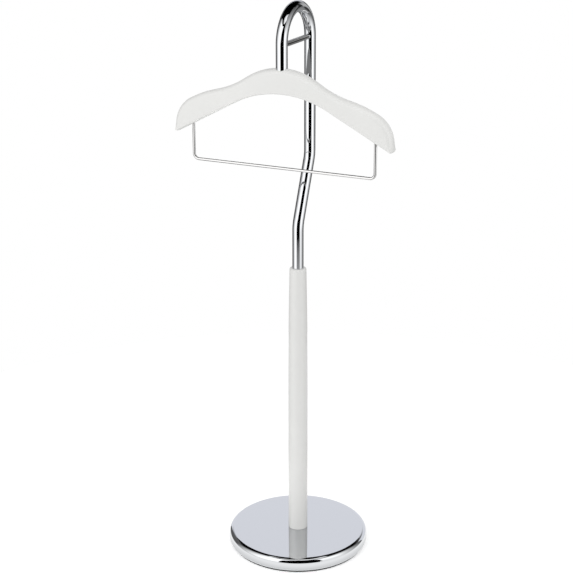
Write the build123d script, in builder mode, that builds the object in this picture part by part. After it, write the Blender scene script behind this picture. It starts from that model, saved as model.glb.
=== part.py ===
from build123d import *

import os
from math import cos, radians, sin, tan

# Valet stand in millimetres: a weighted round foot, a turned column, a bent tube and a coat hanger.
# +Z is up, the hanger lies across X and the front faces -Y. The origin is on the floor, under the column.

# Foot
base_diameter = 286.0
base_height = 30.0
upper_rim_radius = 10.0
lower_rim_radius = 8.0
cover_wall = 1.2
cover_lip_width = 6.0
pad_thickness = 2.5
pad_inset = 6.0
ballast_clearance = 0.3
nut_recess_diameter = 44.0
nut_recess_depth = 14.0

# Tie rod and its nut, an M8 set
rod_diameter = 8.0
rod_hole_clearance = 0.5
rod_plug_depth = 16.0
rod_nut_overhang = 2.0
base_washer_diameter = 30.0
base_washer_thickness = 2.0
base_spring_washer_diameter = 14.8
base_spring_washer_thickness = 2.0
base_nut_width = 13.0
base_nut_height = 6.5
spring_washer_slit = 1.5
thread_clearance = 0.05

# Column
column_height = 568.0
column_foot_diameter = 39.2
column_top_diameter = 33.0
column_straight_height = 270.0
column_top_round = 2.0
column_foot_bevel = 0.6
socket_depth = 70.0
socket_clearance = 0.1

# Tube
tube_diameter = 22.0
tube_wall = 1.5
tube_stem_height = 87.5
tube_offset_rise = 129.0
tube_offset_depth = 54.3
tube_bend_radius = 56.0
back_leg_height = 230.5
arch_radius = 62.0
front_leg_length = 45.0
plug_clearance = 0.05
foot_plug_length = 20.0
head_plug_length = 24.0
cross_bar_diameter = 10.0
cross_bar_drop = 1.0
cross_bar_entry = 3.0
cross_bar_clearance = 0.05

# Hanger
hanger_width = 445.0
hanger_thickness = 26.0
hanger_middle_height = 47.8
crown_radius = 130.0
neck_angle = 32.0
neck_run = 9.3
neck_radius = 196.0
shoulder_angle = 13.2
nose_angle = 28.0
nose_radius = 59.0
underside_radius = 206.0
underside_angle = 27.8
hanger_edge_round = 8.0
tip_round_margin = 0.5
seat_depth = 4.0
seat_clearance = 0.3
swivel_washer_thickness = 1.0
swivel_washer_width = 5.0

# Hanger screw, an M6 set
screw_diameter = 6.0
screw_hole_clearance = 0.25
screw_plug_depth = 16.0
screw_head_diameter = 10.5
screw_head_height = 3.3
screw_head_round = 1.5
screw_socket_width = 4.0
screw_socket_depth = 2.0
screw_recess_diameter = 18.0
screw_recess_depth = 14.0
hanger_washer_diameter = 15.0
hanger_washer_thickness = 1.6
hanger_spring_washer_diameter = 11.0
hanger_spring_washer_thickness = 1.6

# Trouser bar
trouser_bar_diameter = 5.4
trouser_bar_inset = 35.8
trouser_bar_drop = 188.0
trouser_bar_bend_radius = 10.0
trouser_bar_hole_depth = 16.0
trouser_bar_clearance = 0.05

# Levels and places worked out from the sizes above
base_radius = base_diameter / 2
tube_radius = tube_diameter / 2
tube_bore_radius = tube_radius - tube_wall
rod_radius = rod_diameter / 2
rod_hole_radius = rod_radius + rod_hole_clearance
screw_radius = screw_diameter / 2
screw_hole_radius = screw_radius + screw_hole_clearance
bar_radius = trouser_bar_diameter / 2

recess_top = pad_thickness + nut_recess_depth
base_washer_bottom = recess_top - base_washer_thickness
base_spring_washer_bottom = base_washer_bottom - base_spring_washer_thickness
base_nut_bottom = base_spring_washer_bottom - base_nut_height
rod_bottom = base_nut_bottom - rod_nut_overhang

column_top = base_height + column_height
tube_bottom = column_top - socket_depth
rod_top = tube_bottom + rod_plug_depth

offset_start = column_top + tube_stem_height
offset_end = offset_start + tube_offset_rise
arch_level = offset_end + back_leg_height
back_leg_y = tube_offset_depth
front_leg_y = back_leg_y - 2 * arch_radius
tube_front_end = arch_level - front_leg_length
cross_bar_level = arch_level - cross_bar_drop

seat_level = tube_front_end - swivel_washer_thickness
hanger_top = seat_level + seat_depth
hanger_bottom = hanger_top - hanger_middle_height
hanger_half_width = hanger_width / 2
screw_recess_top = hanger_bottom + screw_recess_depth
hanger_washer_bottom = screw_recess_top - hanger_washer_thickness
screw_head_top = hanger_washer_bottom - hanger_spring_washer_thickness
screw_top = tube_front_end + screw_plug_depth

bar_leg_x = hanger_half_width - trouser_bar_inset
bar_level = hanger_top - trouser_bar_drop

hanger_plane = Plane.XZ.offset(-front_leg_y)


def front_leg_plane(level):
    """Horizontal plane at a level, centred on the tube's front leg."""
    return Plane((0, front_leg_y, level))


def disc_section(radius, bottom, top, lower_round, upper_round):
    """Half section of a disc with rounded rims, from the Z axis outwards."""
    with BuildSketch(Plane.XZ) as section:
        with BuildLine():
            FilletPolyline(
                (0, bottom), (radius, bottom), (radius, top), (0, top), radius=[lower_round, upper_round]
            )
            Line((0, top), (0, bottom))
        make_face()
    return section.sketch


# Foot: a pressed shell with a turned-in lip, open below
with BuildPart() as base_cover:
    revolve(
        disc_section(base_radius, pad_thickness, base_height, lower_rim_radius, upper_rim_radius),
        axis=Axis.Z,
    )
    revolve(
        disc_section(
            base_radius - cover_wall,
            pad_thickness + cover_wall,
            base_height - cover_wall,
            lower_rim_radius - cover_wall,
            upper_rim_radius - cover_wall,
        ),
        axis=Axis.Z,
        mode=Mode.SUBTRACT,
    )
    cover_opening_radius = base_radius - lower_rim_radius - cover_lip_width
    with BuildSketch(Plane.XY.offset(pad_thickness)):
        Circle(cover_opening_radius)
    extrude(amount=cover_wall, mode=Mode.SUBTRACT)
    with BuildSketch(Plane.XY.offset(base_height)):
        Circle(rod_hole_radius)
    extrude(amount=-cover_wall, mode=Mode.SUBTRACT)

# Ballast cast inside the shell, level with its lip below, with a recess for the nut
with BuildPart() as base_ballast:
    ballast_inset = cover_wall + ballast_clearance
    revolve(
        disc_section(
            base_radius - ballast_inset,
            pad_thickness + ballast_inset,
            base_height - cover_wall,
            lower_rim_radius - ballast_inset,
            upper_rim_radius - cover_wall,
        ),
        axis=Axis.Z,
    )
    with BuildSketch(Plane.XY.offset(pad_thickness)):
        Circle(cover_opening_radius - ballast_clearance)
    extrude(amount=ballast_inset)
    with BuildSketch(Plane.XY.offset(pad_thickness)):
        Circle(nut_recess_diameter / 2)
    extrude(amount=nut_recess_depth, mode=Mode.SUBTRACT)
    with BuildSketch(Plane.XY.offset(recess_top)):
        Circle(rod_hole_radius)
    extrude(amount=base_height - recess_top, mode=Mode.SUBTRACT)

# Pad glued under the foot, open in the middle for the nut
with BuildPart() as base_pad:
    with BuildSketch():
        Circle(base_radius - pad_inset)
        Circle(nut_recess_diameter / 2, mode=Mode.SUBTRACT)
    extrude(amount=pad_thickness)

# Washer, spring washer and nut that tighten the tie rod from below
with BuildPart() as base_washer:
    with BuildSketch(Plane.XY.offset(base_washer_bottom)):
        Circle(base_washer_diameter / 2)
        Circle(rod_hole_radius, mode=Mode.SUBTRACT)
    extrude(amount=base_washer_thickness)

with BuildPart() as base_spring_washer:
    with BuildSketch(Plane.XY.offset(base_spring_washer_bottom)):
        Circle(base_spring_washer_diameter / 2)
        Circle(rod_radius + thread_clearance, mode=Mode.SUBTRACT)
        Rectangle(
            base_spring_washer_diameter,
            spring_washer_slit,
            align=(Align.MIN, Align.CENTER),
            mode=Mode.SUBTRACT,
        )
    extrude(amount=base_spring_washer_thickness)

with BuildPart() as base_nut:
    with BuildSketch(Plane.XY.offset(base_nut_bottom)):
        RegularPolygon(base_nut_width / 2, 6, major_radius=False)
        Circle(rod_radius + thread_clearance, mode=Mode.SUBTRACT)
    extrude(amount=base_nut_height)

with BuildPart() as tie_rod:
    with BuildSketch(Plane.XY.offset(rod_bottom)):
        Circle(rod_radius)
    extrude(amount=rod_top - rod_bottom)

# Column: straight below, drawn in by a long arc above, drilled for the rod and socketed for the tube
with BuildPart() as column:
    with BuildSketch(Plane.XZ) as column_section:
        with BuildLine():
            foot_corner = (column_foot_diameter / 2, base_height)
            taper_start = (column_foot_diameter / 2, base_height + column_straight_height)
            top_corner = (column_top_diameter / 2, column_top)
            Polyline((0, base_height), foot_corner, taper_start)
            TangentArc(taper_start, top_corner, tangent=(0, 1))
            Polyline(top_corner, (0, column_top), (0, base_height))
        make_face()
        fillet(column_section.vertices().group_by(Axis.Y)[-1].sort_by(Axis.X)[-1], column_top_round)
        chamfer(column_section.vertices().group_by(Axis.Y)[0].sort_by(Axis.X)[-1], column_foot_bevel)
    revolve(axis=Axis.Z)
    with BuildSketch(Plane.XY.offset(column_top)):
        Circle(tube_radius + socket_clearance)
    extrude(amount=-socket_depth, mode=Mode.SUBTRACT)
    with BuildSketch(Plane.XY.offset(base_height)):
        Circle(rod_hole_radius)
    extrude(amount=tube_bottom - base_height, mode=Mode.SUBTRACT)

# Tube: out of the column, set back by two bends, over the arch and down to the hanger
with BuildPart() as frame_tube:
    with BuildLine(Plane.YZ) as tube_path:
        FilletPolyline(
            (0, tube_bottom),
            (0, offset_start),
            (back_leg_y, offset_end),
            (back_leg_y, arch_level),
            radius=tube_bend_radius,
        )
        CenterArc((back_leg_y - arch_radius, arch_level), arch_radius, 0, 180)
        Line((front_leg_y, arch_level), (front_leg_y, tube_front_end))
    with BuildSketch(Plane.XY.offset(tube_bottom)):
        Circle(tube_radius)
        Circle(tube_bore_radius, mode=Mode.SUBTRACT)
    sweep(path=tube_path.wire())
    with BuildSketch(Plane.XZ.offset(-front_leg_y)):
        with Locations((0, cross_bar_level)):
            Circle(cross_bar_diameter / 2 + cross_bar_clearance)
    extrude(amount=front_leg_y - back_leg_y, mode=Mode.SUBTRACT)

# Rod let into the inner walls of both legs
with BuildPart() as cross_bar:
    cross_bar_start = front_leg_y + tube_radius - cross_bar_entry
    cross_bar_length = 2 * (arch_radius - tube_radius + cross_bar_entry)
    with BuildSketch(Plane.XZ.offset(-cross_bar_start)):
        with Locations((0, cross_bar_level)):
            Circle(cross_bar_diameter / 2)
    extrude(amount=-cross_bar_length)

# Threaded plugs in the two ends of the tube
with BuildPart() as tube_foot_plug:
    with BuildSketch(Plane.XY.offset(tube_bottom)):
        Circle(tube_bore_radius - plug_clearance)
        Circle(rod_radius + thread_clearance, mode=Mode.SUBTRACT)
    extrude(amount=foot_plug_length)

with BuildPart() as tube_head_plug:
    with BuildSketch(front_leg_plane(tube_front_end)):
        Circle(tube_bore_radius - plug_clearance)
        Circle(screw_radius + thread_clearance, mode=Mode.SUBTRACT)
    extrude(amount=head_plug_length)

# Hanger: half an outline of tangent arcs, mirrored, with its edges rounded as far as its ends allow
crown_reach = crown_radius * sin(radians(neck_angle)) + neck_run * cos(radians(neck_angle))
neck_reach = neck_radius * (sin(radians(neck_angle)) - sin(radians(shoulder_angle)))
nose_reach = nose_radius * (1 - sin(radians(nose_angle)))
shoulder_reach = hanger_half_width - crown_reach - neck_reach - nose_reach
shoulder_radius = shoulder_reach / (sin(radians(nose_angle)) - sin(radians(shoulder_angle)))

with BuildPart() as hanger_body:
    with BuildSketch(hanger_plane) as hanger_outline:
        with BuildLine():
            crown = JernArc((0, hanger_top), (1, 0), crown_radius, -neck_angle)
            slope = PolarLine(crown @ 1, neck_run, direction=crown % 1)
            neck = JernArc(slope @ 1, slope % 1, neck_radius, neck_angle - shoulder_angle)
            shoulder = JernArc(neck @ 1, neck % 1, shoulder_radius, shoulder_angle - nose_angle)
            nose = JernArc(shoulder @ 1, shoulder % 1, nose_radius, nose_angle - 90)
            underside = JernArc((0, hanger_bottom), (1, 0), underside_radius, -underside_angle)
            arm_reach = hanger_half_width - (underside @ 1).X
            tip = (hanger_half_width, (underside @ 1).Y - arm_reach * tan(radians(underside_angle)))
            end_height = (nose @ 1).Y - tip[1]
            largest_tip_radius = end_height * tan(radians(90 - underside_angle) / 2)
            edge_round = min(hanger_edge_round, largest_tip_radius - 2 * tip_round_margin)
            Polyline(nose @ 1, tip, underside @ 1)
            Line((0, hanger_bottom), (0, hanger_top))
        make_face()
        mirror(about=Plane.YZ)
        fillet(hanger_outline.vertices().group_by(Axis.Y)[0], edge_round + tip_round_margin)
    extrude(amount=hanger_thickness / 2, both=True)
    fillet(hanger_body.faces().filter_by(Axis.Y).edges(), edge_round)
    with BuildSketch(front_leg_plane(hanger_top)):
        Circle(tube_radius + seat_clearance)
    extrude(amount=-seat_depth, mode=Mode.SUBTRACT)
    with BuildSketch(front_leg_plane(seat_level)):
        Circle(screw_hole_radius)
    extrude(amount=screw_recess_top - seat_level, mode=Mode.SUBTRACT)
    with BuildSketch(front_leg_plane(screw_recess_top)):
        Circle(screw_recess_diameter / 2)
    extrude(amount=-hanger_middle_height, mode=Mode.SUBTRACT)
    bar_hole_level = tip[1] + trouser_bar_inset * tan(radians(underside_angle)) + trouser_bar_hole_depth
    with BuildSketch(front_leg_plane(bar_hole_level)):
        with Locations((-bar_leg_x, 0), (bar_leg_x, 0)):
            Circle(bar_radius + trouser_bar_clearance)
    extrude(amount=bar_level - bar_hole_level, mode=Mode.SUBTRACT)

with BuildPart() as swivel_washer:
    with BuildSketch(front_leg_plane(seat_level)):
        Circle(tube_radius)
        Circle(tube_radius - swivel_washer_width, mode=Mode.SUBTRACT)
    extrude(amount=swivel_washer_thickness)

# Button head screw with its washers, up through the hanger into the head plug
with BuildPart() as hanger_screw:
    with BuildSketch(front_leg_plane(screw_head_top)):
        Circle(screw_head_diameter / 2)
    extrude(amount=-screw_head_height)
    fillet(hanger_screw.edges().group_by(Axis.Z)[0], screw_head_round)
    with BuildSketch(front_leg_plane(screw_head_top)):
        Circle(screw_radius)
    extrude(amount=screw_top - screw_head_top)
    with BuildSketch(front_leg_plane(screw_head_top - screw_head_height)):
        RegularPolygon(screw_socket_width / 2, 6, major_radius=False)
    extrude(amount=screw_socket_depth, mode=Mode.SUBTRACT)

with BuildPart() as hanger_washer:
    with BuildSketch(front_leg_plane(hanger_washer_bottom)):
        Circle(hanger_washer_diameter / 2)
        Circle(screw_hole_radius, mode=Mode.SUBTRACT)
    extrude(amount=hanger_washer_thickness)

with BuildPart() as hanger_spring_washer:
    with BuildSketch(front_leg_plane(screw_head_top)):
        Circle(hanger_spring_washer_diameter / 2)
        Circle(screw_radius + thread_clearance, mode=Mode.SUBTRACT)
        Rectangle(
            hanger_spring_washer_diameter,
            spring_washer_slit,
            align=(Align.MIN, Align.CENTER),
            mode=Mode.SUBTRACT,
        )
    extrude(amount=hanger_spring_washer_thickness)

# Trouser bar: one wire, bent twice, with both ends in the arms
with BuildPart() as trouser_bar:
    with BuildLine(hanger_plane) as bar_path:
        FilletPolyline(
            (-bar_leg_x, bar_hole_level),
            (-bar_leg_x, bar_level),
            (bar_leg_x, bar_level),
            (bar_leg_x, bar_hole_level),
            radius=trouser_bar_bend_radius,
        )
    with BuildSketch(front_leg_plane(bar_hole_level)):
        with Locations((-bar_leg_x, 0)):
            Circle(bar_radius)
    sweep(path=bar_path.wire())

pieces = {
    "base_cover": base_cover,
    "base_ballast": base_ballast,
    "base_pad": base_pad,
    "base_washer": base_washer,
    "base_spring_washer": base_spring_washer,
    "base_nut": base_nut,
    "tie_rod": tie_rod,
    "column": column,
    "frame_tube": frame_tube,
    "cross_bar": cross_bar,
    "tube_foot_plug": tube_foot_plug,
    "tube_head_plug": tube_head_plug,
    "swivel_washer": swivel_washer,
    "hanger_body": hanger_body,
    "hanger_screw": hanger_screw,
    "hanger_washer": hanger_washer,
    "hanger_spring_washer": hanger_spring_washer,
    "trouser_bar": trouser_bar,
}

os.makedirs("parts", exist_ok=True)
for name, piece in pieces.items():
    piece.part.label = name
    export_step(piece.part, f"parts/{name}.step")
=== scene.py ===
from math import acos, cos, pi, radians, sin, tan

import bpy
from mathutils import Matrix, Vector


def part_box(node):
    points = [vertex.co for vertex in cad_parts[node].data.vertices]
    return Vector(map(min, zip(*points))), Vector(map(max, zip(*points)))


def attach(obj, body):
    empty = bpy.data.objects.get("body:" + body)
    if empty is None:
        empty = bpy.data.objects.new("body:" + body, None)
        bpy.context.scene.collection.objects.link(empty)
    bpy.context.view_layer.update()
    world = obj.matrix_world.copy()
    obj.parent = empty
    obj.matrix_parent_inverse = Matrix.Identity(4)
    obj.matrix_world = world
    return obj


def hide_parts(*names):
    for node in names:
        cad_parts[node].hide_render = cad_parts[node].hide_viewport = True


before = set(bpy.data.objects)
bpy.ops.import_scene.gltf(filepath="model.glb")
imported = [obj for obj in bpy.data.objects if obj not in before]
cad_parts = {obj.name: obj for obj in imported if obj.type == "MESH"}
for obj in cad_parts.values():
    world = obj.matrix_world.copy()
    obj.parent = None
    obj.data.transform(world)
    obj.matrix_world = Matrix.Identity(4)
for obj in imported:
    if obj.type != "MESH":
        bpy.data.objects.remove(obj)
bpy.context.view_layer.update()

# Metres, +Z up, the front faces -Y. The stand's sizes come from the frame where a box gives them.
micron = 0.000001
x_axis = Vector((1, 0, 0))
y_axis = Vector((0, 1, 0))
z_axis = Vector((0, 0, 1))

# Camera
camera_azimuth = radians(24.99)
camera_distance = 2.6422
camera_height = 1.4819
camera_heading = radians(25.48)
camera_pitch = radians(19.25)
camera_roll = radians(-0.17)
camera_lens_mm = 89.3
camera_sensor_mm = 36.0
camera_reach = 20.0

# Bends and wall of the tube and of the trouser bar
tube_wall = 0.0015
offset_start = 0.6855
offset_end = 0.8145
tube_bend_radius = 0.056
bar_bend_radius = 0.010

# Section of the foot's shell
shell_wall = 0.0012
shell_lip = 0.006
upper_rim_radius = 0.010
lower_rim_radius = 0.008
rod_hole_radius = 0.0045

# Section of the column
column_foot_radius = 0.0196
column_top_radius = 0.0165
column_straight_height = 0.270
column_top_round = 0.002
column_foot_bevel = 0.0006
socket_radius = 0.0111
socket_depth = 0.070

# Outline of the hanger: tangent arcs, with the slope at which each gives way to the next
crown_radius = 0.130
neck_slope = radians(32.0)
neck_run = 0.0093
neck_radius = 0.196
shoulder_slope = radians(13.2)
shoulder_radius = 0.2264
nose_slope = radians(28.0)
nose_radius = 0.059
end_slope = radians(87.0)
underside_radius = 0.206
underside_slope = radians(27.8)
hanger_middle_height = 0.0478
upper_edge_inset = 0.009
lower_edge_inset = 0.003
edge_depth = 0.012
tip_radius = 0.0038
face_margin = 0.0006

# Height of the hanger's crown above the swivel washer's underside
seat_depth = 0.004

# Fineness of the meshes
round_segments = 128
wire_segments = 48
bend_step = radians(2.0)
rim_step = radians(6.0)
run_step = 0.02
taper_steps = 40
edge_round_steps = 8
sharp_angle = radians(40.0)

# Most values of a noise lie between these two
noise_low = 0.3
noise_high = 0.7

# Upward parts of the surface normal between which lacquer goes from dull to its usual shine
dull_rise = -0.5
shiny_rise = 0.0

# Floor and sky
pure_white = (1.0, 1.0, 1.0, 1.0)
floor_paint = (0.9, 0.9, 0.9, 1.0)
floor_radius = 1.2
floor_segments = 96
floor_lift = 0.36
sky_strength = 0.75
sky_lean = 0.10
sky_bearing = -40
sky_rise = 0.36

# Studio cards: tints, distances from the stand's axis, bearings in degrees, and heights
plain = (1.0, 1.0, 1.0)
cool = (0.984, 1.0, 1.065)
softbox_distance = 1.0
top_light_distance = 0.97
dark_distance = 0.95
foot_distance = 0.5
wall_distance = 5.0
black_wall_distance = 5.1
softbox_left_end = -62
softbox_right_end = 66
dark_left_end = -28
dark_right_end = 36
dark_front_level = 0.39
card_step = 4
flag_height = 1.40
shade_gap = 0.001
floor_card_height = 0.002
floor_bright_bearing = 40


# Materials


def srgb(red, green, blue):
    """Linear colour of an 8-bit display colour."""
    shares = [value / 255 for value in (red, green, blue)]
    linear = [share / 12.92 if share <= 0.04045 else ((share + 0.055) / 1.055) ** 2.4 for share in shares]
    return (*linear, 1.0)


class Nodes:
    """Short ways to add nodes to a tree. An underscore stands for a space in the name of a socket."""

    def __init__(self, tree):
        self.tree = tree

    def feed(self, socket, value):
        """Links an output to the socket, or sets a plain value on it."""
        if isinstance(value, bpy.types.NodeSocket):
            self.tree.links.new(value, socket)
        else:
            socket.default_value = value

    def fill(self, node, **sockets):
        for name, value in sockets.items():
            self.feed(node.inputs[name.replace("_", " ")], value)

    def node(self, kind, **sockets):
        made = self.tree.nodes.new(kind)
        self.fill(made, **sockets)
        return made

    def combine(self, kind, *values):
        """A node that takes these values in the order of its sockets."""
        made = self.tree.nodes.new(kind)
        for socket, value in zip(made.inputs, values):
            self.feed(socket, value)
        return made

    def calculate(self, kind, operation, *values):
        """The result of a math node."""
        made = self.combine(kind, *values)
        made.operation = operation
        return made.outputs["Value"]

    def seen_directly(self):
        """1 for camera, glossy and transmission rays, 0 for the rays that only carry light."""
        path = self.node("ShaderNodeLightPath")
        total = path.outputs["Is Camera Ray"]
        for ray in ("Is Glossy Ray", "Is Transmission Ray"):
            total = self.calculate("ShaderNodeMath", "MAXIMUM", total, path.outputs[ray])
        return total

    def show(self, output, shader):
        """Makes a shader the surface of the named output node."""
        self.feed(self.tree.nodes[output].inputs["Surface"], shader.outputs[0])


class Finish(Nodes):
    """A material with one Principled shader, and textures for it."""

    def __init__(self, name, **sockets):
        self.material = bpy.data.materials.new(name)
        self.material.use_nodes = True
        super().__init__(self.material.node_tree)
        self.place = self.node("ShaderNodeTexCoord").outputs["Object"]
        self.set(**sockets)

    def set(self, **sockets):
        self.fill(self.tree.nodes["Principled BSDF"], **sockets)

    def stretched(self, along):
        """Object coordinates multiplied by a scale for each axis."""
        mapping = self.node("ShaderNodeMapping", Vector=self.place, Scale=along)
        return mapping.outputs["Vector"]

    def noise(self, scale, detail=2.0, vector=None):
        made = self.node("ShaderNodeTexNoise", Vector=vector or self.place, Scale=scale, Detail=detail)
        return made.outputs["Fac"]

    def cells(self, scale):
        made = self.node("ShaderNodeTexVoronoi", Vector=self.place, Scale=scale)
        return made.outputs["Distance"]

    def ranged(self, value, start, end, low, high):
        """A value brought from the range between start and end to the one between low and high."""
        made = self.node(
            "ShaderNodeMapRange", Value=value, From_Min=start, From_Max=end, To_Min=low, To_Max=high
        )
        return made.outputs["Result"]

    def spread(self, noise, low, high):
        """A noise brought to the range between low and high."""
        return self.ranged(noise, noise_low, noise_high, low, high)

    def upward(self, low, high):
        """A value that goes from low where the surface faces down to high where it is upright."""
        normal = self.node("ShaderNodeNewGeometry").outputs["Normal"]
        rise = self.node("ShaderNodeSeparateXYZ", Vector=normal).outputs["Z"]
        return self.ranged(rise, dull_rise, shiny_rise, low, high)

    def tint(self, noise, dark, light):
        """A colour between two close ones, by a noise."""
        ramp = self.node("ShaderNodeValToRGB", Fac=noise)
        first, second = ramp.color_ramp.elements
        first.position = noise_low
        first.color = dark
        second.position = noise_high
        second.color = light
        return ramp.outputs["Color"]

    def relief(self, *layers):
        """Bumps on top of each other, each as a height value and its depth in metres."""
        normal = None
        for height, depth in layers:
            bump = self.node("ShaderNodeBump", Height=height, Strength=1.0, Distance=depth)
            if normal:
                self.fill(bump, Normal=normal)
            normal = bump.outputs["Normal"]
        self.set(Normal=normal)


def chrome_finish(name, colour, rim):
    """Chrome plate: a mirror with slight waves from bending and faint wiping marks; a rim below 1 darkens
    its grazing edges, painted shade.
    """
    finish = Finish(name, Base_Color=(*colour, 1.0), Specular_Tint=(rim, rim, rim, 1.0), Metallic=1.0)
    waves = finish.noise(scale=22.0)
    wiping = finish.noise(scale=900.0, detail=3.0)
    finish.set(Roughness=finish.spread(finish.noise(scale=60.0, detail=4.0), low=0.02, high=0.05))
    finish.relief((waves, 50 * micron), (wiping, 0.6 * micron))
    return finish.material


def lacquer_finish(name, grain_scale, light):
    """White lacquer on wood: fine orange peel, a trace of the grain, and duller on the underside."""
    finish = Finish(name, Coat_Roughness=0.12)
    dark_white = srgb(light - 3, light - 3, light - 5)
    light_white = srgb(light, light, light - 2)
    grain = finish.noise(scale=1.0, detail=4.0, vector=finish.stretched(grain_scale))
    orange_peel = finish.noise(scale=420.0)
    finish.set(Base_Color=finish.tint(finish.noise(scale=14.0, detail=3.0), dark_white, light_white))
    finish.set(Roughness=finish.spread(finish.noise(scale=70.0, detail=3.0), low=0.38, high=0.48))
    finish.set(Coat_Weight=finish.upward(low=0.0, high=0.2))
    finish.set(Specular_IOR_Level=finish.upward(low=0.05, high=0.4))
    finish.relief((grain, 20 * micron), (orange_peel, 20 * micron))
    return finish.material


def zinc_finish():
    """Zinc plated fasteners: grey, with cloudy passivation."""
    finish = Finish("zinc_plate", Metallic=1.0)
    clouds = finish.noise(scale=260.0, detail=4.0)
    finish.set(Base_Color=finish.tint(clouds, srgb(178, 180, 184), srgb(203, 203, 200)))
    finish.set(Roughness=finish.spread(finish.noise(scale=700.0, detail=3.0), low=0.24, high=0.4))
    finish.relief((finish.noise(scale=2600.0), 4 * micron))
    return finish.material


def pad_finish():
    """Dark foam sheet with a closed-cell skin; its thin edge under the foot's rim also stands in for the
    foot's contact shadow, painted shade.
    """
    finish = Finish("dark_foam_pad", Specular_IOR_Level=0.3)
    mottle = finish.noise(scale=500.0, detail=4.0)
    finish.set(Base_Color=finish.tint(mottle, srgb(28, 28, 30), srgb(46, 46, 48)))
    finish.set(Roughness=finish.spread(finish.noise(scale=300.0), low=0.75, high=0.92))
    finish.relief((finish.cells(scale=1600.0), 120 * micron))
    return finish.material


def ballast_finish():
    """Cast cement with sand and air holes."""
    finish = Finish("cast_cement", Specular_IOR_Level=0.25)
    sand = finish.noise(scale=1500.0, detail=3.0)
    air_holes = finish.cells(scale=220.0)
    stains = finish.noise(scale=180.0, detail=6.0)
    finish.set(Base_Color=finish.tint(stains, srgb(128, 126, 121), srgb(168, 165, 158)))
    finish.set(Roughness=finish.spread(finish.noise(scale=90.0), low=0.8, high=0.95))
    finish.relief((air_holes, 400 * micron), (sand, 100 * micron))
    return finish.material


def nylon_finish():
    """Natural nylon: milky, with faint moulding flow."""
    finish = Finish("natural_nylon", Subsurface_Weight=0.15, Subsurface_Scale=0.002)
    flow = finish.noise(scale=240.0, detail=3.0)
    finish.set(Base_Color=finish.tint(flow, srgb(214, 212, 204), srgb(228, 226, 219)))
    finish.set(Roughness=finish.spread(finish.noise(scale=800.0), low=0.38, high=0.5))
    finish.relief((finish.noise(scale=1200.0), 10 * micron))
    return finish.material


chrome = chrome_finish("bright_chrome", colour=(0.62, 0.63, 0.645), rim=1.0)
# Rim 0.5 darkens the edges of the trouser bar and the cross bar: painted shade on their edges.
wire_chrome = chrome_finish("wire_chrome", colour=(0.635, 0.63, 0.625), rim=0.5)
zinc = zinc_finish()
node_finish = {
    "base_cover": chrome,
    "base_ballast": ballast_finish(),
    "base_pad": pad_finish(),
    # The column's lacquer is three levels darker than the hanger's: painted shade for the lesser light on
    # the column.
    "column": lacquer_finish("white_lacquer_upright_painted_shade", grain_scale=(420.0, 420.0, 9.0), light=232),
    "frame_tube": chrome,
    "cross_bar": wire_chrome,
    "swivel_washer": nylon_finish(),
    "hanger_body": lacquer_finish("white_lacquer_across", grain_scale=(9.0, 420.0, 420.0), light=235),
    "trouser_bar": wire_chrome,
}


def dress_nodes():
    """Gives each CAD node its finish; the nodes without one of their own are zinc plated."""
    for name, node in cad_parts.items():
        node.data.materials.clear()
        node.data.materials.append(node_finish.get(name, zinc))


# Mesh pieces


def new_object(name, vertices, faces):
    mesh = bpy.data.meshes.new(name)
    mesh.from_pydata(vertices, [], faces)
    made = bpy.data.objects.new(name, mesh)
    bpy.context.scene.collection.objects.link(made)
    return made


def stand_for(name, node, body, slot, vertices, faces):
    """A smooth mesh piece that stands for a CAD node and rides on its body."""
    piece = new_object(name, vertices, faces)
    piece.data.materials.append(node_finish[node])
    piece.data.polygons.foreach_set("use_smooth", [True] * len(piece.data.polygons))
    piece.data.set_sharp_from_angle(angle=sharp_angle)
    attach(piece, body)
    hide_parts(node)


def arc(centre, radius, start, end):
    """Points of an arc in a section, with both ends; angles in radians from the outward axis."""
    count = max(2, round(abs(end - start) / rim_step))
    angles = [start + (end - start) * i / count for i in range(count + 1)]
    return [(centre[0] + radius * cos(angle), centre[1] + radius * sin(angle)) for angle in angles]


def turned(section):
    """Vertices and faces of a closed section turned about the Z axis."""
    count = len(section)
    vertices = []
    for i in range(round_segments):
        angle = 2 * pi * i / round_segments
        vertices += [(radius * cos(angle), radius * sin(angle), level) for radius, level in section]
    faces = []
    for i in range(round_segments):
        here = i * count
        there = (i + 1) % round_segments * count
        for j in range(count):
            k = (j + 1) % count
            faces.append((here + j, there + j, there + k, here + k))
    return vertices, faces


def straight_run(start, end, direction):
    """Points along a straight run, with both ends, and the direction at each."""
    steps = max(1, round((end - start).length / run_step))
    return [(start.lerp(end, i / steps), direction) for i in range(steps + 1)]


def rounded_route(corners, radii):
    """Points and directions along straight runs joined by tangent arcs, with no point twice."""
    start = corners[0]
    route = [(start, (corners[1] - start).normalized())]
    for before, corner, after, radius in zip(corners, corners[1:], corners[2:], radii):
        entering = (corner - before).normalized()
        leaving = (after - corner).normalized()
        turn = acos(max(-1.0, min(1.0, entering.dot(leaving))))
        inward = (leaving - entering * entering.dot(leaving)).normalized()
        trim = radius * tan(turn / 2)
        bend_start = corner - entering * trim
        if (bend_start - start).length > micron:
            route += straight_run(start, bend_start, entering)[1:]
        centre = bend_start + inward * radius
        steps = max(2, round(turn / bend_step))
        for i in range(1, steps + 1):
            angle = turn * i / steps
            point = centre - inward * (radius * cos(angle)) + entering * (radius * sin(angle))
            route.append((point, entering * cos(angle) + inward * sin(angle)))
        start = corner + leaving * trim
    return route + straight_run(start, corners[-1], leaving)[1:]


def ring(point, direction, side, radius, segments):
    """A circle of points across a route; side is square to the plane the route lies in."""
    up = direction.cross(side)
    angles = [2 * pi * i / segments for i in range(segments)]
    return [point + (side * cos(angle) + up * sin(angle)) * radius for angle in angles]


def joined_rings(first, second, segments):
    """Faces between two rings of vertices that start at these numbers."""
    wrap = [(i, (i + 1) % segments) for i in range(segments)]
    return [(first + i, first + k, second + k, second + i) for i, k in wrap]


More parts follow.
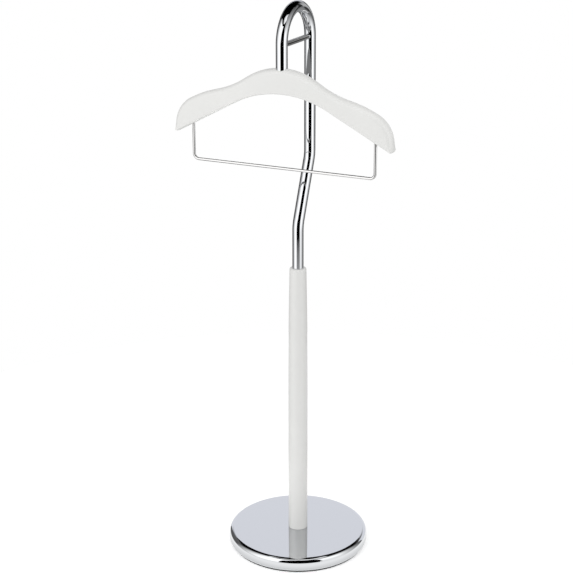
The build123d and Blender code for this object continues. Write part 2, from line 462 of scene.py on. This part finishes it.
def rod(route, side, radius, segments):
    """A solid rod along a route, closed by flat ends."""
    vertices = []
    faces = []
    for number, (point, direction) in enumerate(route):
        vertices += ring(point, direction, side, radius, segments)
        if number:
            faces += joined_rings((number - 1) * segments, number * segments, segments)
    last = len(vertices) - segments
    faces.append(tuple(reversed(range(segments))))
    faces.append(tuple(range(last, last + segments)))
    return vertices, faces


def pipe(route, side, radius, bore, segments):
    """A tube with its bore along a route, closed by ring ends."""
    there = [(point, direction, radius) for point, direction in route]
    back = [(point, direction, bore) for point, direction in reversed(route)]
    vertices = []
    for point, direction, size in there + back:
        vertices += ring(point, direction, side, size, segments)
    count = len(there + back)
    faces = []
    for number in range(count):
        faces += joined_rings(number * segments, (number + 1) % count * segments, segments)
    return vertices, faces


def make_foot():
    """Pressed shell with rounded rims and a turned-in lip."""
    low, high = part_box("base_cover")
    radius, bottom, top = high.x, low.z, high.z
    upper = (radius - upper_rim_radius, top - upper_rim_radius)
    lower = (radius - lower_rim_radius, bottom + lower_rim_radius)
    lip_radius = radius - lower_rim_radius - shell_lip
    outside = arc(lower, lower_rim_radius, -pi / 2, 0) + arc(upper, upper_rim_radius, 0, pi / 2)
    inside = arc(upper, upper_rim_radius - shell_wall, pi / 2, 0)
    inside += arc(lower, lower_rim_radius - shell_wall, 0, -pi / 2)
    section = [(lip_radius, bottom)] + outside
    section += [(rod_hole_radius, top), (rod_hole_radius, top - shell_wall)]
    section += inside + [(lip_radius, bottom + shell_wall)]
    stand_for("foot_shell", "base_cover", "stand", "chrome", *turned(section))


def make_column():
    """Turned post: straight below, drawn in by a long arc above."""
    low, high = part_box("column")
    straight_top = low.z + column_straight_height
    taper = high.z - straight_top
    draw = column_foot_radius - column_top_radius
    sweep_radius = (taper**2 + draw**2) / (2 * draw)
    levels = [taper * i / taper_steps for i in range(taper_steps + 1)]
    side = [
        (column_foot_radius - sweep_radius + (sweep_radius**2 - level**2) ** 0.5, straight_top + level)
        for level in levels
        if level < taper - column_top_round
    ]
    top_centre = (column_top_radius - column_top_round, high.z - column_top_round)
    section = [(rod_hole_radius, low.z), (column_foot_radius - column_foot_bevel, low.z)]
    section += [(column_foot_radius, low.z + column_foot_bevel)]
    section += side + arc(top_centre, column_top_round, 0, pi / 2)
    section += [(socket_radius, high.z), (socket_radius, high.z - socket_depth)]
    section += [(rod_hole_radius, high.z - socket_depth)]
    stand_for("column_post", "column", "stand", "white_lacquer", *turned(section))


def make_tube():
    """One bent tube, from the column's socket over the arch to the hanger's seat."""
    low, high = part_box("frame_tube")
    radius = high.x
    back, front = high.y - radius, low.y + radius
    arch_radius = (back - front) / 2
    top = high.z - radius
    front_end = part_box("swivel_washer")[1].z
    corners = [
        (0, low.z),
        (0, offset_start),
        (back, offset_end),
        (back, top),
        (front, top),
        (front, front_end),
    ]
    corners = [Vector((0, y, z)) for y, z in corners]
    radii = [tube_bend_radius, tube_bend_radius, arch_radius, arch_radius]
    mesh = pipe(rounded_route(corners, radii), x_axis, radius, radius - tube_wall, round_segments)
    stand_for("bent_tube", "frame_tube", "stand", "chrome", *mesh)


def make_cross_bar():
    """Straight rod let into both legs of the arch."""
    low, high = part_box("cross_bar")
    radius = high.x
    level = (low.z + high.z) / 2
    route = straight_run(Vector((0, low.y, level)), Vector((0, high.y, level)), y_axis)
    mesh = rod(route, x_axis, radius, wire_segments)
    stand_for("arch_rod", "cross_bar", "stand", "chrome", *mesh)


def make_trouser_bar():
    """One wire bent twice, with both ends in the hanger's arms."""
    low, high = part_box("trouser_bar")
    radius = (high.y - low.y) / 2
    depth = (high.y + low.y) / 2
    left, right, level = low.x + radius, high.x - radius, low.z + radius
    corners = [(left, high.z), (left, level), (right, level), (right, high.z)]
    corners = [Vector((x, depth, z)) for x, z in corners]
    route = rounded_route(corners, [bar_bend_radius, bar_bend_radius])
    mesh = rod(route, y_axis, radius, wire_segments)
    stand_for("trouser_wire", "trouser_bar", "hanger", "chrome", *mesh)


def bend(path, radius, turn):
    """Adds an arc to a walk of places and headings; a turn to the left is positive."""
    x, z, heading = path[-1]
    side = radius if turn > 0 else -radius
    centre_x = x - side * sin(heading)
    centre_z = z + side * cos(heading)
    steps = max(2, round(abs(turn) / bend_step))
    for i in range(1, steps + 1):
        now = heading + turn * i / steps
        path.append((centre_x + side * sin(now), centre_z - side * cos(now), now))


def hanger_edge(half_width, top):
    """The outline, clockwise from the crown: each place, the way into the wood and the edge's inset."""
    path = [(0.0, top, 0.0)]
    bend(path, crown_radius, -neck_slope)
    x, z, heading = path[-1]
    path.append((x + neck_run * cos(heading), z + neck_run * sin(heading), heading))
    bend(path, neck_radius, neck_slope - shoulder_slope)
    bend(path, shoulder_radius, shoulder_slope - nose_slope)
    bend(path, nose_radius, nose_slope - end_slope)
    upper_count = len(path)
    arm_x = underside_radius * sin(underside_slope)
    arm_z = top - hanger_middle_height - underside_radius * (1 - cos(underside_slope))
    tip_x = half_width - tip_radius
    tip_z = arm_z - (tip_x - arm_x) * tan(underside_slope) + tip_radius / cos(underside_slope)
    path.append((tip_x + tip_radius * sin(end_slope), tip_z + tip_radius * cos(end_slope), -end_slope))
    bend(path, tip_radius, end_slope - underside_slope - pi)
    path.append((arm_x, arm_z, -pi - underside_slope))
    bend(path, underside_radius, underside_slope)
    insets = [upper_edge_inset] * upper_count + [lower_edge_inset] * (len(path) - upper_count)
    half = [(x, z, sin(heading), -cos(heading), inset) for (x, z, heading), inset in zip(path, insets)]
    return half + [(-x, z, -way_x, way_z, inset) for x, z, way_x, way_z, inset in reversed(half[1:-1])]


def rounded_plate(edge, middle, half_depth):
    """A plate across Y with a rounded edge, by its outline with the way inwards and the rounding."""
    angles = [pi / 2 * i / edge_round_steps for i in range(edge_round_steps + 1)]
    front = [(-1, angle, 0.0) for angle in reversed(angles)]
    back = [(1, angle, 0.0) for angle in angles]
    vertices = []
    for side, angle, margin in [(-1, pi / 2, face_margin), *front, *back, (1, pi / 2, face_margin)]:
        depth = half_depth - edge_depth * (1 - sin(angle))
        for x, z, way_x, way_z, inset in edge:
            step = inset * (1 - cos(angle)) + margin
            vertices.append((x + way_x * step, middle + side * depth, z + way_z * step))
    count = len(edge)
    last = len(vertices) - count
    faces = [tuple(reversed(range(count))), tuple(range(last, last + count))]
    for start in range(0, last, count):
        faces += joined_rings(start, start + count, count)
    return vertices, faces


def make_hanger():
    """Contoured hanger with sharp tips, left whole: only the CAD solid is drilled."""
    low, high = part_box("hanger_body")
    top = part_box("swivel_washer")[0].z + seat_depth
    plate = rounded_plate(hanger_edge(high.x, top), (low.y + high.y) / 2, (high.y - low.y) / 2)
    stand_for("hanger_wood", "hanger_body", "hanger", "white_lacquer", *plate)


# Studio


def place(bearing, distance, height):
    """A point by its bearing in degrees from the camera's direction, to the right, and its distance."""
    angle = camera_azimuth + radians(bearing)
    return (distance * sin(angle), -distance * cos(angle), height)


def make_sky():
    """White where it is seen, and a soft light from all round that is strongest from the front left."""
    world = bpy.data.worlds.new("studio")
    world.use_nodes = True
    bpy.context.scene.world = world
    sky = Nodes(world.node_tree)
    direction = sky.node("ShaderNodeTexCoord").outputs["Generated"]
    strongest = Vector(place(sky_bearing, 1, sky_rise)).normalized()
    lean = sky.calculate("ShaderNodeVectorMath", "DOT_PRODUCT", direction, strongest)
    strength = sky.calculate("ShaderNodeMath", "MULTIPLY_ADD", lean, sky_lean, sky_strength)
    light = world.node_tree.nodes["Background"]
    sky.fill(light, Color=pure_white, Strength=strength)
    white = sky.node("ShaderNodeBackground", Color=pure_white, Strength=1.0)
    mix = sky.combine("ShaderNodeMixShader", sky.seen_directly(), light.outputs[0], white.outputs[0])
    sky.show("World Output", mix)


def glowing_material(name):
    """A material still without a shader, whose glow is not sampled as a lamp."""
    material = bpy.data.materials.new(name)
    material.use_nodes = True
    material.cycles.emission_sampling = "NONE"
    nodes = material.node_tree.nodes
    nodes.remove(nodes["Principled BSDF"])
    return material


def stage_mesh(name, vertices, faces, material):
    made = new_object(name, vertices, faces)
    made.data.materials.append(material)
    return made


def make_floor():
    """Pale round floor that keeps a soft shadow and is white where it is seen unshaded."""
    material = glowing_material("floor_white")
    nodes = Nodes(material.node_tree)
    lift = nodes.calculate("ShaderNodeMath", "MULTIPLY", nodes.seen_directly(), floor_lift)
    paint = nodes.node("ShaderNodeBsdfDiffuse", Color=floor_paint)
    glow = nodes.node("ShaderNodeEmission", Color=pure_white, Strength=lift)
    nodes.show("Material Output", nodes.combine("ShaderNodeAddShader", paint.outputs[0], glow.outputs[0]))
    angles = [2 * pi * i / floor_segments for i in range(floor_segments)]
    rim = [(floor_radius * cos(angle), floor_radius * sin(angle), 0.0) for angle in angles]
    stage_mesh("floor", rim, [tuple(range(floor_segments))], material)


def make_card_light():
    """Glow of the cards by their corners' colours, and plain white for what metal throws on lacquer."""
    material = glowing_material("card_light")
    nodes = Nodes(material.node_tree)
    colour = nodes.node("ShaderNodeAttribute")
    colour.attribute_name = "glow"
    light = nodes.node("ShaderNodeEmission", Color=colour.outputs["Color"], Strength=1.0)
    white = nodes.node("ShaderNodeEmission", Color=pure_white, Strength=1.0)
    thrown = nodes.node("ShaderNodeLightPath").outputs["Diffuse Depth"]
    mix = nodes.combine("ShaderNodeMixShader", thrown, light.outputs[0], white.outputs[0])
    nodes.show("Material Output", mix)
    return material


card_light = make_card_light()


def add_card(name, vertices, faces, glows, tint=plain):
    """A studio card that shows in reflections alone, with the glow of each of its vertices."""
    made = stage_mesh(name, vertices, faces, card_light)
    colours = made.data.color_attributes.new("glow", "FLOAT_COLOR", "POINT")
    for spot, glow in zip(colours.data, glows):
        spot.color = (*(part * glow for part in tint), 1.0)
    made.visible_camera = False
    made.visible_diffuse = False
    made.visible_transmission = False
    made.visible_volume_scatter = False
    made.visible_shadow = False


def wall_card(name, distance, *rows, tint=plain):
    """An upright curved card; each row is its level, left and right bearing, left and right glow."""
    first_left, first_right = rows[0][1:3]
    steps = max(2, round((first_right - first_left) / card_step))
    shares = [i / steps for i in range(steps + 1)]
    vertices = []
    glows = []
    for level, left, right, left_glow, right_glow in rows:
        vertices += [place(left + (right - left) * share, distance, level) for share in shares]
        glows += [left_glow + (right_glow - left_glow) * share for share in shares]
    faces = []
    for number in range(len(rows) - 1):
        low = number * (steps + 1)
        high = low + steps + 1
        faces += [(low + i, low + i + 1, high + i + 1, high + i) for i in range(steps)]
    add_card(name, vertices, faces, glows, tint)


def straight_card(name, distance, left, right, *rows, tint=plain):
    """A wall card between two bearings; each row is its level, left and right glow."""
    rows = [(level, left, right, left_glow, right_glow) for level, left_glow, right_glow in rows]
    wall_card(name, distance, *rows, tint=tint)


def dark_card(name, distance, *rows):
    """A black wall card; each row is its level, left and right bearing."""
    wall_card(name, distance, *[(level, left, right, 0.0, 0.0) for level, left, right in rows])


def level_card(name, height, glow, corners):
    """A level card by its corners, each as the way to the right and the way to the camera's side."""
    toward = Vector(place(0, 1, 0))
    right = Vector(place(90, 1, 0))
    up = Vector((0, 0, height))
    vertices = [right * across + toward * near + up for across, near in corners]
    add_card(name, vertices, [tuple(range(len(corners)))], [glow] * len(corners))


def floor_card(name, height, *rings):
    """Level rings above the floor; each is a radius, its glow, and how far that leans to one side."""
    bearings = [360 * i / floor_segments for i in range(floor_segments)]
    vertices = []
    glows = []
    faces = []
    for number, (radius, glow, lean) in enumerate(rings):
        vertices += [place(bearing, radius, height) for bearing in bearings]
        glows += [glow + lean * cos(radians(bearing - floor_bright_bearing)) for bearing in bearings]
        if number:
            faces += joined_rings((number - 1) * floor_segments, number * floor_segments, floor_segments)
    add_card(name, vertices, faces, glows)


def shade_card(name, glow):
    """A dim card of the hanger's outline close behind it, so that the back leg mirrors a shaded back."""
    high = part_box("hanger_body")[1]
    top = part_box("swivel_washer")[0].z + seat_depth
    vertices = [(x, high.y + shade_gap, z) for x, z, *_ in hanger_edge(high.x, top)]
    add_card(name, vertices, [tuple(range(len(vertices)))], [glow] * len(vertices))


def make_softboxes():
    """A softbox on each side, both with a fading edge, and a light above the right one."""
    straight_card(
        "softbox_left",
        softbox_distance,
        softbox_left_end,
        0,
        (-0.3, 1.65, 1.65),
        (2.35, 1.65, 1.65),
    )
    straight_card(
        "softbox_left_edge",
        softbox_distance,
        -110,
        softbox_left_end,
        (-0.3, 0.12, 1.65),
        (2.35, 0.12, 1.65),
    )
    straight_card(
        "softbox_right",
        softbox_distance,
        0,
        softbox_right_end,
        (-0.3, 1.2, 1.2),
        (0.30, 1.25, 1.25),
        (0.60, 1.65, 1.65),
        (1.22, 1.65, 1.65),
        (1.45, 1.1, 0.85),
        (1.75, 0.8, 0.5),
        (1.95, 0.65, 0.42),
        (2.40, 0.65, 0.1),
    )
    straight_card(
        "softbox_right_edge",
        softbox_distance,
        softbox_right_end,
        112,
        (-0.3, 1.2, 0.12),
        (0.30, 1.25, 0.12),
        (0.60, 1.65, 0.12),
        (1.00, 1.65, 0.25),
        (1.15, 1.65, 0.25),
        (1.45, 0.85, 0.15),
        (1.75, 0.5, 0.12),
        (1.95, 0.42, 0.05),
        (2.40, 0.1, 0.0),
    )
    straight_card("top_light", top_light_distance, 5, 48, (2.1, 1.4, 1.4), (3.4, 1.4, 1.4))


def make_dark_cards():
    """Black cards for the dark stripes: ahead, fading below, over the stand and low before the foot."""
    dark_card(
        "dark_front",
        dark_distance,
        (dark_front_level, dark_left_end, dark_right_end),
        (0.95, -26, 37),
        (1.30, -18, 36),
        (1.54, -13, 33),
        (1.88, -1, 43),
        (2.06, 8, 45),
    )
    dark_card(
        "dark_neck",
        dark_distance,
        (1.95, -22, 8),
        (2.08, -34, 4),
        (2.22, -60, -6),
        (2.32, -90, -11),
        (2.75, -100, -20),
        (3.70, -100, -30),
    )
    straight_card(
        "dim_front",
        dark_distance,
        dark_left_end,
        dark_right_end,
        (0.0, 1.1, 1.1),
        (0.33, 0.28, 0.28),
        (0.375, 0.0, 0.0),
        (dark_front_level, 0.0, 0.0),
    )
    dark_card("dark_low", foot_distance, (0.004, -26, 30), (0.25, -26, 30))
    level_card(
        "dark_flag",
        flag_height,
        glow=0.0,
        corners=[
            (-0.36, -0.30),
            (-0.35, -0.04),
            (-0.18, 0.14),
            (-0.09, 0.17),
            (-0.01, 0.13),
            (0.17, 0.12),
            (0.29, 0.09),
            (0.36, -0.30),
            (0.20, -0.55),
            (-0.20, -0.55),
        ],
    )


def make_far_walls():
    """Grey and dark walls far behind, pale where the foot's flat top mirrors them, and black above."""
    wall_card(
        "grey_right",
        wall_distance,
        (-2.5, 110, 118, 0.45, 0.38),
        (-1.5, 110, 118, 0.40, 0.22),
        (-0.5, 110, 119, 0.35, 0.18),
        (0.6, 110, 121, 0.25, 0.12),
        (1.3, 110, 122, 0.20, 0.14),
        (2.2, 110, 123, 0.27, 0.27),
        (3.2, 110, 124, 0.18, 0.12),
        (4.2, 110, 124, 0.0, 0.0),
    )
    wall_card(
        "dark_right",
        wall_distance,
        (-2.5, 118, 130, 0.38, 0.30),
        (-1.5, 118, 130, 0.15, 0.20),
        (-0.7, 119, 130, 0.04, 0.06),
        (0.6, 121, 130, 0.03, 0.03),
        (2.2, 123, 130, 0.03, 0.03),
        (3.2, 124, 130, 0.02, 0.02),
        (4.2, 124, 130, 0.0, 0.0),
    )
    straight_card(
        "glow_right",
        wall_distance,
        130,
        150,
        (-2.5, 0.28, 0.28),
        (-1.0, 0.25, 0.42),
        (0.1, 0.20, 0.35),
        (0.6, 0.50, 0.50),
        (1.1, 0.60, 0.60),
        (1.9, 0.55, 0.60),
        (2.9, 0.32, 0.34),
        (3.3, 0.12, 0.12),
        (4.2, 0.0, 0.0),
    )
    straight_card("dim_back", wall_distance, 150, 250, (-2.5, 0.15, 0.13), (2.2, 0.15, 0.13))
    pale_right_rows = [(2.2, 0.55, 1.0), (2.9, 0.3, 1.0), (3.5, 0.1, 1.0)]
    straight_card("pale_right", wall_distance, 150, 170, *pale_right_rows, tint=cool)
    straight_card("pale_back", wall_distance, 170, 190, (2.2, 1.0, 1.0), (3.5, 1.0, 1.0), tint=cool)
    straight_card("pale_left", wall_distance, 190, 210, (2.2, 1.0, 0.15), (3.5, 1.0, 0.15), tint=cool)
    straight_card("grey_left", wall_distance, 210, 250, (2.2, 0.15, 0.15), (3.9, 0.15, 0.15))
    dark_card("dark_back", black_wall_distance, (3.1, 85, 275), (12.0, 85, 275))


def make_near_cards():
    """A pale card low behind the foot, a dim one behind the hanger, and the floor that metal mirrors."""
    straight_card("low_back", foot_distance, 110, 222, (0.0, 1.0, 1.0), (0.25, 1.0, 1.0), tint=cool)
    shade_card("hanger_shade", glow=0.26)
    # The pale_floor card's glow is painted light: it stands in for the lit floor in the chrome's
    # reflections. Its ring next to the foot is dimmer as painted shade, and its outer rings are brighter
    # toward floor_bright_bearing.
    floor_card(
        "pale_floor",
        floor_card_height,
        (0.146, 0.9, 0.0),
        (0.17, 1.25, 0.0),
        (0.32, 1.2, 0.0),
        (0.45, 0.5, 0.35),
        (1.25, 0.5, 0.35),
    )


def area_lamp(name, energy, size, bearing, distance, height, aim, spread=180):
    """A square lamp that lights what it is aimed at and isn't seen itself, nor mirrored."""
    lamp = bpy.data.lights.new(name, "AREA")
    lamp.energy = energy
    lamp.size = size
    lamp.spread = radians(spread)
    made = bpy.data.objects.new(name, lamp)
    bpy.context.scene.collection.objects.link(made)
    made.location = place(bearing, distance, height)
    made.rotation_mode = "QUATERNION"
    made.rotation_quaternion = (Vector(aim) - made.location).to_track_quat("-Z", "Y")
    made.visible_camera = False
    made.visible_glossy = False


def make_lamps():
    """A large key from the left, a side lamp from the right, and weak fills for foot and hanger."""
    area_lamp("key", energy=9.1, size=1.6, bearing=-40, distance=2.4, height=1.45, aim=(0, 0, 0.7))
    area_lamp("side", energy=2.6, size=0.8, bearing=65, distance=1.03, height=1.81, aim=(0.15, -0.07, 0.95))
    area_lamp("low_fill", energy=0.16, size=0.25, bearing=-40, distance=0.38, height=0.06, aim=(0, 0, 0.05))
    area_lamp(
        "under_fill",
        energy=0.018,
        size=0.06,
        bearing=10,
        distance=0.061,
        height=0.6,
        aim=(-0.12, -0.07, 0.91),
        spread=44,
    )
    area_lamp(
        "end_fill",
        energy=0.035,
        size=0.2,
        bearing=120,
        distance=0.9,
        height=0.92,
        aim=(0.22, -0.07, 0.9),
        spread=40,
    )


def make_camera():
    """The photograph's camera, by its place and the heading, pitch and roll of its view."""
    camera = bpy.data.objects.new("camera", bpy.data.cameras.new("camera"))
    bpy.context.scene.collection.objects.link(camera)
    camera.data.lens = camera_lens_mm
    camera.data.sensor_width = camera_sensor_mm
    camera.data.clip_end = camera_reach
    level_forward = Vector((-sin(camera_heading), cos(camera_heading), 0))
    forward = level_forward * cos(camera_pitch) - z_axis * sin(camera_pitch)
    level_right = Vector((cos(camera_heading), sin(camera_heading), 0))
    level_up = level_right.cross(forward)
    right = level_right * cos(camera_roll) + level_up * sin(camera_roll)
    up = level_up * cos(camera_roll) - level_right * sin(camera_roll)
    turn = Matrix((right, up, -forward)).transposed().to_4x4()
    camera.matrix_world = Matrix.Translation(place(0, camera_distance, camera_height)) @ turn
    bpy.context.scene.camera = camera


dress_nodes()
make_foot()
make_column()
make_tube()
make_cross_bar()
make_hanger()
make_trouser_bar()
make_sky()
make_floor()
make_softboxes()
make_dark_cards()
make_far_walls()
make_near_cards()
make_lamps()
make_camera()
bpy.context.scene.view_settings.view_transform = "Standard"
